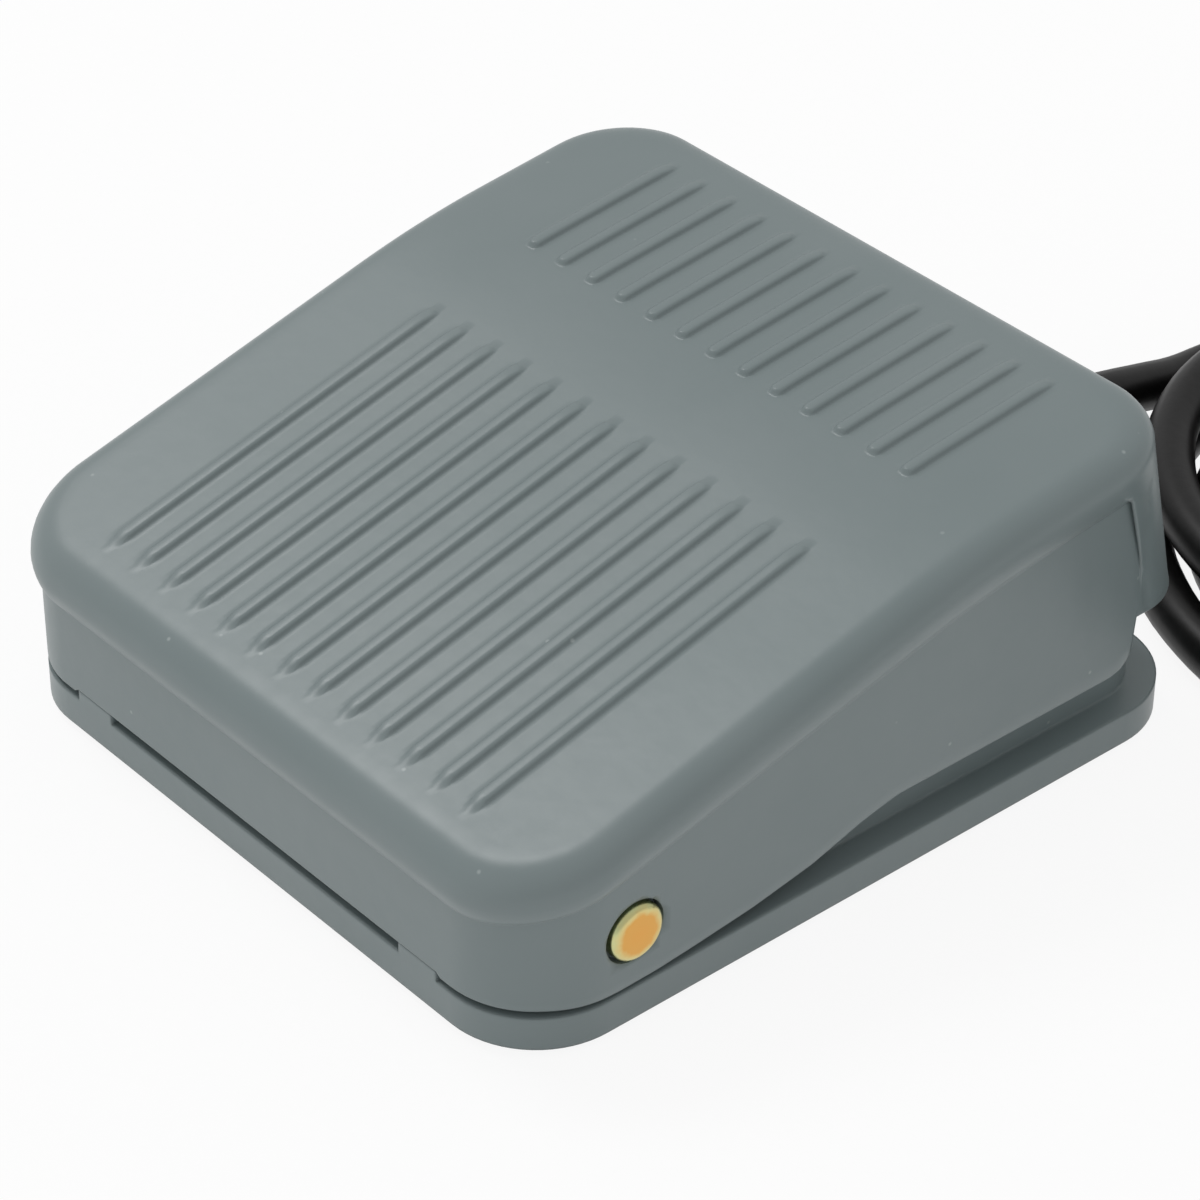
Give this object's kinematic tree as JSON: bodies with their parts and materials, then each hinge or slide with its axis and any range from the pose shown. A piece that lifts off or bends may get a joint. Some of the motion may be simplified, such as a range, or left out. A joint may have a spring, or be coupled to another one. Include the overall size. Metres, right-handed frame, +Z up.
{
  "type": "industrial foot switch",
  "caption": "Foot switch with a ribbed, sprung cast pedal hinged on a cast base, a snap-action switch inside and a rubber-sleeved cord.",
  "frame": {"origin": "on the floor under the middle of the body in plan", "axes": "+Z up, +X to the right side, +Y towards the toe end where the cord leaves"},
  "size_m": [0.1495, 0.195, 0.0413],
  "materials": {
    "cast_paint": "satin blue-grey paint on cast metal",
    "yellow_zinc": "yellow passivated zinc on steel",
    "bright_steel": "plain bright steel",
    "spring_steel": "dull spring steel",
    "black_rubber": "satin black",
    "phenolic": "moulded phenolic",
    "red_plastic": "moulded",
    "brass": "plain stamped",
    "copper_alloy": "spring-temper strip",
    "fibre_card": "vulcanised fibre",
    "black_plastic": "cord sheath and insulation",
    "white_plastic": "core insulation",
    "red_insulation": "core insulation"
  },
  "bodies": {
    "base": {"base_tray": "cast_paint", "hinge_pin": "yellow_zinc", "pin_clips": "spring_steel", "rubber_feet": "black_rubber", "return_spring_left": "spring_steel", "return_spring_right": "spring_steel", "switch_bracket": "bright_steel", "bracket_screws": "bright_steel", "switch_case": "phenolic", "switch_cover": "phenolic", "switch_screws": "bright_steel", "switch_nuts": "bright_steel", "lever_pin": "bright_steel", "terminal_common": "brass", "terminal_open": "brass", "terminal_closed": "brass", "insulating_card": "fibre_card", "lead_common": "black_plastic", "lead_open": "white_plastic", "lead_closed": "red_insulation", "cord_clamp": "bright_steel", "clamp_screws": "bright_steel", "strain_relief": "black_rubber", "cord": "black_plastic", "cord_coil": "black_plastic", "coil_tie": "black_plastic", "cord_tail": "black_plastic", "tail_cores": "white_plastic", "core_ends": "bright_steel"},
    "pedal": {"pedal_cover": "cast_paint", "actuator_screw": "yellow_zinc", "lock_nut": "yellow_zinc"},
    "lever": {"switch_lever": "bright_steel"},
    "plunger": {"switch_plunger": "red_plastic"},
    "blade": {"contact_blade": "copper_alloy"}
  },
  "joints": [
    {"name": "pedal_press", "type": "hinge", "parent": "base", "child": "pedal", "pos_m": [0, -0.0331, 0.0123], "axis": [-1, 0, 0], "range_deg": [0, 4.8], "stiffness_Nm_per_rad": 3, "springref_deg": -14.32, "deforming": ["return_spring_left", "return_spring_right"]},
    {"name": "lever_turn", "type": "hinge", "parent": "base", "child": "lever", "pos_m": [0, -0.014, 0.0256], "axis": [-1, 0, 0], "range_deg": [0, 8.4]},
    {"name": "plunger_slide", "type": "slide", "parent": "base", "child": "plunger", "axis": [0, 0, -1], "range_m": [0, 0.0013]},
    {"name": "blade_tilt", "type": "hinge", "parent": "base", "child": "blade", "pos_m": [0, 0.0065, 0.018], "axis": [1, 0, 0], "range_deg": [0, 6]}
  ],
  "couplings": [
    {"joint": "lever_turn", "follows": "pedal_press", "ratio": 1.7346},
    {"joint": "plunger_slide", "follows": "pedal_press", "m_per_rad": 0.014744},
    {"joint": "blade_tilt", "follows": "pedal_press", "ratio": 1.2287}
  ]
}
